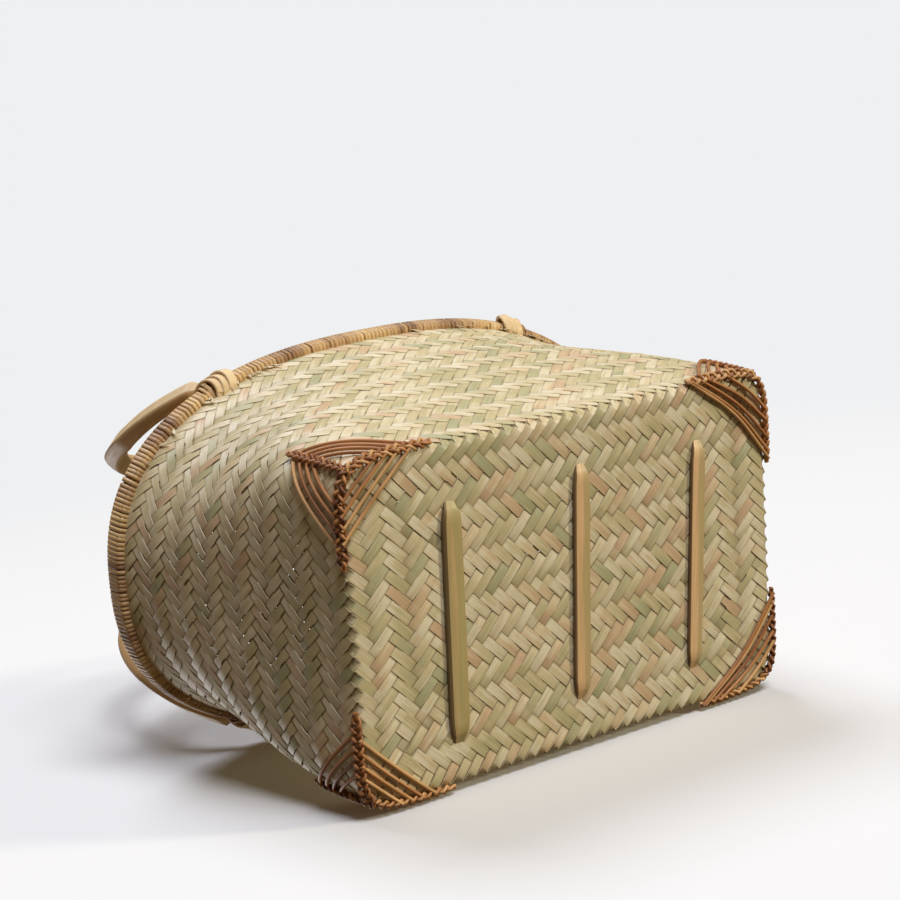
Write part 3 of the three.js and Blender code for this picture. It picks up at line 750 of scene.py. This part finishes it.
# Rim winding: one strip of rattan peel in each of the four stretches between the handle knots,
# wound close round both hoops and the cane, each turn going through the weave under the hoops.
peel = rattan_finish("rattan_peel", [
    (0.0, 128, 90, 58), (0.25, 168, 128, 82), (0.5, 198, 158, 106), (0.8, 214, 174, 112),
    (1.0, 228, 196, 142)], srgb(118, 82, 50), 0.0005, 0.0003)
hoop_out = 0.0044
hoop_top = 0.005
cane_lift = 0.0066
cane_radius = 0.0017
hoop_corner = 0.0012
peel_stand = 0.0004
peel_thickness = 0.0009
peel_pitch = 0.0028
peel_width = 0.0028
knot_span = 0.228
knot_room = 0.0004
loop_steps = 18
knot_rise = 0.0015
built_radius = 0.0078
built_reach = 0.0025
built_fade = 0.004
swell_spread = 0.10
jog_spread = 0.00035
loop_tone_spread = 0.09


def bound_outline(grow_by, steps):
    """Offsets, lifts and facing angles round what the winding binds, from the inner foot outwards."""
    discs = [(side * (hoop_out - hoop_corner), end * (hoop_top - hoop_corner), hoop_corner)
             for side in (-1, 1) for end in (-1, 1)]
    discs.append((0, cane_lift, cane_radius))
    angles = np.linspace(-math.pi * 0.75, math.pi * 1.25, 721)
    reach = np.array([x * np.cos(angles) + y * np.sin(angles) + r for x, y, r in discs])
    chosen = np.array(discs)[reach.argmax(axis=0)]
    offsets = chosen[:, 0] + (chosen[:, 2] + grow_by) * np.cos(angles)
    lifts = chosen[:, 1] + (chosen[:, 2] + grow_by) * np.sin(angles)
    run = path_run(np.stack([offsets, lifts], axis=-1))
    even = np.linspace(0, run[-1], steps + 1)[:-1]
    return np.interp(even, run, offsets), np.interp(even, run, lifts), np.interp(even, run, angles)


rim_shares = np.linspace(0, 1, 4001)
rim_line = wall_at_share(rim_shares, np.full(4001, rim_rise))
rim_girth = float(path_run(rim_line)[-1])
knot_index = int(np.argmax(rim_line[:, 0] < knot_span / 2))
knot_share = float(rim_shares[knot_index])
hinge_depth = float(rim_line[knot_index, 1])
room_share = knot_room / rim_girth
loop_offsets, loop_lifts, loop_angles = bound_outline(peel_stand, loop_steps)


def rim_frame(share, offset, lift):
    """Places on the rim at shares round it, with the outward direction there."""
    place = wall_at_share(share, rim_rise + lift, offset)
    beyond = wall_at_share(share, rim_rise + lift, offset + 0.001)
    return place, unit((beyond - place) * [1, 1, 0])


rim_stretches = {
    "right": (-knot_share + room_share, knot_share - room_share),
    "back": (knot_share + room_share, 0.5 - knot_share - room_share),
    "left": (0.5 - knot_share + room_share, 0.5 + knot_share - room_share),
    "front": (0.5 + knot_share + room_share, 1 - knot_share - room_share),
}
for stretch, (start, end) in rim_stretches.items():
    loops = int(round((end - start) * rim_girth / peel_pitch))
    count = loops * loop_steps + 1
    turn = np.arange(count)
    share = start + (end - start) * turn / (count - 1)
    loop = turn // loop_steps
    swell = 1 + chance.normal(0, swell_spread, loops + 1)[loop]
    jogs = chance.normal(0, jog_spread, loops + 2)
    jog = np.interp(turn, np.arange(loops + 2) * loop_steps, jogs) / rim_girth
    lift = loop_lifts[turn % loop_steps]
    offset = loop_offsets[turn % loop_steps]
    angle = loop_angles[turn % loop_steps]
    # Under the knots the winding is built up round, so that the handles' tails sit close on it
    from_knot = np.minimum(share - start, end - share) * rim_girth
    built = 1 - np.clip((from_knot - built_reach) / built_fade, 0, 1)
    offset = offset + (built_radius * np.cos(angle) - offset) * built
    lift = lift + (knot_rise + built_radius * np.sin(angle) - lift) * built
    place, outward = rim_frame(share + jog, offset, lift)
    facing = outward * np.cos(angle)[:, None] + np.array([0, 0, 1]) * np.sin(angle)[:, None]
    slow = 0.5 + 0.22 * np.sin(share * 61) + 0.16 * np.sin(share * 143 + 1)
    tone = np.clip(slow + chance.normal(0, loop_tone_spread, loops + 1)[loop], 0.05, 0.95)
    run = (place, facing, {"tone": tone, "splint": loop, "wide": swell})
    piece = grow("peel_winding_" + stretch, [run], {
        "Width": peel_width, "Thickness": peel_thickness, "Edge share": 0.8, "Sides": 8, "Material": peel})
    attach(piece, "basket")
    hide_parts("rim_winding_" + stretch)

# Frayed ends: where the rim was closed beside the knots, thin splint ends stick out from under the
# outer hoop over the weave.
end_width = 0.0024
end_thickness = 0.0004
ends_each = 22
end_spread = 0.03
whiskers = []
for middle_share in (0.5 + knot_share, 1 - knot_share, knot_share, 0.5 - knot_share):
    for number in range(ends_each):
        share = middle_share + chance.normal(0, end_spread)
        side = chance.choice([-1, 1])
        length = chance.uniform(0.006, 0.012)
        step = np.linspace(0, 1, 5)
        place = wall_at_share(
            share + side * length * step * 0.35 / rim_girth, rim_rise - 0.0040 - length * step * 0.8,
            wall_thickness / 2 + 0.0014 + 0.0016 * step ** 1.5 * chance.uniform(0.1, 1))
        here = np.full(5, share)
        under_hoop = np.full(5, rim_rise - 0.005)
        outward = unit(wall_at_share(here, under_hoop, 0.01) - wall_at_share(here, under_hoop))
        whiskers.append((place, outward, {
            "wide": np.array([1, 0.9, 0.8, 0.55, 0.15]) * chance.uniform(0.5, 1.4),
            "tone": float(chance.uniform(0.4, 0.85)), "splint": number, "lift": 1.0}))
piece = grow("frayed_splint_ends", whiskers, {
    "Width": end_width, "Thickness": end_thickness, "Edge share": 0.6, "Sides": 6,
    "Waver": 0.0002, "Material": straw_splints})
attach(piece, "basket")

# Handles: each is one thick cane, bent with steam to a broad arch. Its ends are shaved to thin
# pale tails that wind round the rim as knots and let the handle swing.
# The last colour is the painted highlight on the cane's sides
pale_cane = rattan_finish("pale_cane", [
    (0.0, 160, 112, 66), (0.3, 198, 150, 96), (0.55, 214, 172, 116), (0.8, 228, 194, 144),
    (1.0, 236, 220, 188)], srgb(158, 108, 62), 0.0009, 0.0003, srgb(226, 198, 148))
top_span = 0.290
grip_height = 0.174
bend_radius = 0.108
grip_thickness = 0.0130
grip_width = 0.0108
foot_height = 0.0045
foot_thickness = 0.0112
foot_width = 0.0092
knee_in = 0.004
knee_out = 0.0052
tail_width = 0.0072
tail_thickness = 0.0021
tail_pitch = 0.0038
tail_turns = 2.62
tail_steps = 24
tail_slant = 0.0030
tail_radius = 0.0088
tail_rise = 0.0005
tuck_turns = 0.4
tail_foot = 0.1180
tail_start = math.radians(36)
leg_twist = math.radians(42)
body_tone = 0.63
tail_tone = 0.84
hinge_height = base_under + rim_rise + knot_rise
leans = {"front": math.radians(27.6), "back": math.radians(13.6)}


def twisted(away, share):
    """A direction across the leg, turned about the leg by a share of its twist."""
    angle = leg_twist * share
    return (away[0] * math.cos(angle), -math.sin(angle), away[2] * math.cos(angle))


def half_handle():
    """Half a handle from the middle of its grip: places, thickness directions, widths,
    thicknesses, tones and how far the row follows the rim's bend, in the frame of the hinge line
    with Y away from the basket. The bends twist the cane, so that the outer face of each leg looks
    partly inwards and its highlight-painted side shows, and the turns of the tail lie aslant across the rim."""
    rows = []
    bend_x = top_span / 2 - bend_radius
    bend_z = grip_height - bend_radius
    for share in np.linspace(0, 1, 9)[:-1]:
        rows.append(((bend_x * share, 0, grip_height), (0, 0, 1), grip_width, grip_thickness, body_tone, 0))
    for turn in np.linspace(math.pi / 2, 0, 31):
        away = (math.cos(turn), 0, math.sin(turn))
        rows.append(((bend_x + bend_radius * away[0], 0, bend_z + bend_radius * away[2]),
                     twisted(away, away[0]), grip_width, grip_thickness, body_tone, 0))
    top = np.array([top_span / 2, 0, bend_z])
    knee = np.array([top_span / 2 - knee_in, knee_out, bend_z * 0.5])
    foot = np.array([tail_foot, tail_radius * math.cos(tail_start), tail_radius * math.sin(tail_start)])
    for share in np.linspace(0, 1, 25)[1:-1]:
        height = (bend_z - foot[2]) * (1 - share)
        foot_share = min(1, height / foot_height)
        leg_share = max(0, (height - foot_height) / (bend_z - foot_height))
        wide = tail_thickness + (foot_width - tail_thickness) * foot_share ** 0.7
        thick = tail_width + (foot_thickness - tail_width) * foot_share ** 0.7
        eased = top * (1 - share) ** 2 + knee * 2 * share * (1 - share) + foot * share ** 2
        rows.append((tuple(eased), twisted((1, 0, 0), foot_share),
                     wide + (grip_width - foot_width) * leg_share,
                     thick + (grip_thickness - foot_thickness) * leg_share,
                     tail_tone + (body_tone - tail_tone) * foot_share ** 2, 1 - foot_share))
    for step in range(int(tail_turns * tail_steps) + 1):
        turns = step / tail_steps
        turn = 2 * math.pi * turns - tail_start
        tucked = max(0, turns - (tail_turns - tuck_turns)) / tuck_turns
        radius = tail_radius + tail_rise * turns * (1 - tucked ** 2)
        radius += 0.0003 * math.sin(turns * 9.1) * min(1, turns)
        x = tail_foot - tail_pitch * turns - tail_slant * (math.sin(turn) + math.sin(tail_start))
        x += 0.0005 * math.sin(turns * 7.7 + 1) * min(1, turns)
        shaved = (1 + 0.14 * math.sin(turns * 5.3)) * (1 - 0.4 * tucked)
        rows.append(((x, radius * math.cos(turn), -radius * math.sin(turn)), (1, 0, 0),
                     tail_thickness, tail_width * shaved, tail_tone, 1))
    return rows


right_half = half_handle()
left_half = [((-place[0], place[1], place[2]), (-way[0], way[1], way[2]), *rest)
             for place, way, *rest in right_half[1:]]
places, ways, widths, thicknesses, tones, follows = zip(*(left_half[::-1] + right_half))
for name, side in (("front", -1), ("back", 1)):
    place, way = (np.stack([
        x, y * math.cos(leans[name]) - z * math.sin(leans[name]),
        y * math.sin(leans[name]) + z * math.cos(leans[name])], axis=-1)
        for x, y, z in (np.array(places).T, np.array(ways).T))
    place += [0, hinge_depth, hinge_height]
    rim_depth = np.interp(np.abs(place[:, 0]), rim_line[1000::-1, 0], rim_line[1000::-1, 1])
    place[:, 1] += (rim_depth - hinge_depth) * np.array(follows)
    run = (place * [side, side, 1], way * [side, side, 1], {
        "wide": np.array(widths) / grip_width, "thin": np.array(thicknesses) / grip_thickness,
        "tone": np.array(tones)})
    piece = grow("handle_cane_" + name, [run], {
        "Width": grip_width, "Thickness": grip_thickness, "Edge share": 1.0, "Sides": 20,
        "Material": pale_cane})
    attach(piece, name + "_handle")
    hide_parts("handle_" + name)

# Base slats: three strips of split bamboo. The middle of each lies under the base, and its shaved
# ends come up through the weave and lie on the floor of the basket.
def slat_surface():
    """Split bamboo skin: a greenish band along one side, streaked tan, and painted shadow along the other
    edge.
    """
    f = Finish("bamboo_slat", 0.45)
    made = f.fibres(0.0007, 0.03, 0.06)
    across = f.attribute("across")
    drift = f.plus(f.attribute("tone"), f.between(made["Patch"], 0.3, 0.7, -0.1, 0.1))
    tan = f.ramp(drift, [
        (0.0, 186, 164, 108), (0.4, 206, 172, 116), (0.7, 228, 184, 132), (1.0, 232, 192, 140)])
    wander = f.between(made["Patch"], 0.3, 0.7, -0.0008, 0.0008)
    band = f.between(f.plus(across, wander), -0.0012, 0.0004, 0.55, 0.0)
    banded = f.mix(band, tan, srgb(160, 152, 96))
    streaked = f.mix(f.between(made["Fibre"], 0.4, 0.7, 0.0, 0.32), banded, srgb(150, 108, 60))
    # Painted shadow: one side edge is darkened as if the slat cast its shadow there
    shade_painted = f.mix(f.between(across, 0.0040, 0.0046, 0.0, 0.8), streaked, srgb(70, 48, 26))
    return f.wear(shade_painted, f.between(made["Fibre"], 0.3, 0.7, 0.34, 0.5), made["Height"], 0.0002)


slat_finish = slat_surface()
slat_thickness = 0.0024
slat_over = base_under + wall_thickness + 0.0003 + slat_thickness / 2
# Half of the marks along a slat, from its end to its middle
half_marks = np.array([-0.089, -0.082, -0.075, -0.070, -0.066, -0.063, -0.058, -0.050, -0.040, -0.020, 0])
# Each slat's place along the base, its slant, its width, its tone and how far it is pushed along
slats = {
    "left": (-0.084, -0.031, 0.0130, 0.15, 0.005),
    "middle": (0.00525, -0.060, 0.0115, 0.6, 0.002),
    "right": (0.09225, -0.075, 0.0105, 0.75, 0.005),
}
for name, (across_place, slant, slat_width, tone, pushed) in slats.items():
    marks_y = np.concatenate([half_marks, -half_marks[-2::-1]])
    far = np.abs(marks_y)
    z = np.interp(far, [0.063, 0.075], [slat_thickness / 2, slat_over])
    wide = np.interp(far, [0.056, 0.062, 0.067, 0.072, 0.089], [1.0, 0.94, 0.66, 0.45, 0.5])
    place = np.stack([across_place + (marks_y + pushed) * slant, marks_y + pushed, z], axis=-1)
    outward = np.broadcast_to([0, 0, -1.0], place.shape)
    piece = grow("slat_" + name, [
        (place, outward, {"wide": wide, "tone": tone, "splint": across_place * 100})], {
        "Width": slat_width, "Thickness": slat_thickness, "Edge share": 1.0, "Sides": 12,
        "Crisp angle": 0.8, "Material": slat_finish})
    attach(piece, "basket")
    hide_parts("base_slat_" + name)

# Corner lacings: thin rattan round each lower corner. A braid of three strands runs from the
# corner along each of its three edges, and nested strands cross the faces between the braids.
thin_rattan = rattan_finish("thin_rattan", [
    (0.0, 112, 66, 38), (0.35, 154, 98, 54), (0.65, 188, 128, 74), (1.0, 216, 168, 108)],
    srgb(96, 54, 28), 0.0005, 0.0003)
lacing_reach = 0.054
strand_radius = 0.0011
braid_across = 0.0026
braid_out = 0.0012
braid_period = 0.0155
braid_step = 0.0011
corner_share = steps_y / steps_round
foot_girth = float(path_run(wall_at_share(rim_shares, np.zeros(4001)))[-1])
edge_rise = 0.004
edge_droop = math.radians(38)
edge_stand = 0.0062
strand_gap = 0.0008
strand_step = 0.003


def resampled(places, step):
    """The same path with even steps, and the length along it."""
    run = path_run(places)
    even = np.linspace(0, run[-1], max(2, int(round(run[-1] / step)) + 1))
    return np.stack([np.interp(even, run, places[:, k]) for k in range(3)], axis=-1), even


def edge_place(share):
    """Places and outward directions of what lies round the base's edge."""
    offset = wall_thickness / 2 - 0.004 + edge_stand * math.cos(edge_droop)
    rise = np.full(share.shape, edge_rise)
    place = wall_at_share(share, rise, offset)
    beyond = wall_at_share(share, rise, offset + 0.001)
    place[:, 2] = base_under + 0.0043 - edge_stand * math.sin(edge_droop)
    out = unit((beyond - place) * [1, 1, 0])
    return place, out * math.cos(edge_droop) + np.array([0, 0, -math.sin(edge_droop)])


def braid(places, outward, phase):
    """Three strands that cross over and under one another along a path."""
    line, run = resampled(places, braid_step)
    mark = np.linspace(0, 1, len(places))
    fine = np.linspace(0, 1, len(line))
    out = unit(np.stack([np.interp(fine, mark, outward[:, k]) for k in range(3)], axis=-1))
    side = unit(np.cross(out, unit(np.gradient(line, axis=0))))
    fade = np.clip((run[-1] - run) / 0.006, 0.35, 1)
    runs = []
    for strand in range(3):
        turn = 2 * math.pi * (run / braid_period + strand / 3 + phase)
        place = (line + side * (braid_across * np.sin(turn) * fade)[:, None]
                 + out * (braid_out * np.sin(2 * turn) * fade)[:, None])
        runs.append((place, out))
    return runs


for corner, (side_x, side_y, here) in {
        "front_left": (-1, -1, 0.5 + corner_share), "front_right": (1, -1, 1 - corner_share),
        "back_left": (-1, 1, 0.5 - corner_share), "back_right": (1, 1, corner_share)}.items():
    long_way = side_x * side_y
    ways = (long_way, -long_way)
    strands = []
    for way in ways:
        distance = np.linspace(0, lacing_reach, 40)
        strands += braid(*edge_place(here + way * distance / foot_girth), chance.random())
    rises = np.linspace(0.002, lacing_reach, 40)
    upright = np.full(40, here)
    up = wall_at_share(upright, rises, wall_thickness / 2 + strand_gap + 0.0018)
    up_out = unit(wall_at_share(upright, rises, 0.01) - wall_at_share(upright, rises, 0.009))
    strands += braid(up, up_out, chance.random())
    # Nested arcs cross the two walls from the base's edge to the upright braid
    lines = []
    face = np.linspace(0, 1, 24)
    for foot_part, top_part, bow in (
            (0.34, 0.54, 0.5), (0.48, 0.66, 0.7), (0.62, 0.78, 0.9), (0.77, 0.9, 1.1)):
        for way in ways:
            bowed = (0.030 if way == long_way else 0.009) * bow * np.sin(math.pi * face)
            lines.append(wall_at_share(
                here + way * lacing_reach * (foot_part * (1 - face) + bowed) / foot_girth,
                0.002 + lacing_reach * (top_part * face + bowed) * 0.96,
                wall_thickness / 2 + strand_gap + strand_radius))
    # More of them cross the base's underside, drawn in to the corner at the right end
    heart = edge_place(np.array([here]))[0][0]
    drawn = 0.16 if side_x > 0 else 0.03
    crossings = {-1: ((0.33, 0.31), (0.46, 0.44), (0.60, 0.58), (0.75, 0.72)),
                 1: ((0.46, 0.40), (0.72, 0.52), (0.83, 0.72), (0.95, 0.86), (0.98, 0.95))}[side_x]
    for parts in crossings:
        ends = [edge_place(np.array([here + way * lacing_reach * part / foot_girth]))[0][0]
                for way, part in zip(ways, parts)]
        spread = np.linspace(0, 1, 16)[:, None]
        under = ends[0] * (1 - spread) + ends[1] * spread
        under = under + (heart - under) * drawn * np.sin(math.pi * spread)
        under[:, 2] = base_under - 0.0003 - strand_radius
        lines.append(under)
    facing = np.array([side_x * 0.5, side_y * 0.5, -0.7])
    for line in lines:
        place, run = resampled(line, strand_step)
        ahead = unit(np.gradient(place, axis=0))
        strands.append((place, unit(facing - ahead * (ahead @ facing)[:, None])))
    # The braids' tones, then those of the walls' arcs and of the underside's. They are partly painted
    # light and shade: the long edge's braid and the strands under the base pale as if lit, the upright braid
    # dark as if in shade
    tones = [0.8] * 3 + [0.5] * 3 + [0.35] * 3 + [0.5] * 8 + [0.8] * len(crossings)
    runs = []
    for number, (place, out) in enumerate(strands):
        tone = float(np.clip(chance.normal(tones[number], 0.2), 0, 1))
        wide = float(chance.uniform(0.82, 1.12))
        runs.append((place, out, {"tone": tone, "splint": number, "wide": wide}))
    piece = grow("lacing_" + corner, runs, {
        "Width": 2 * strand_radius, "Thickness": 2 * strand_radius, "Edge share": 0.0, "Sides": 8,
        "Waver": 0.0006, "Width spread": 0.08, "Material": thin_rattan})
    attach(piece, "basket")
    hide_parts("corner_lacing_" + corner)
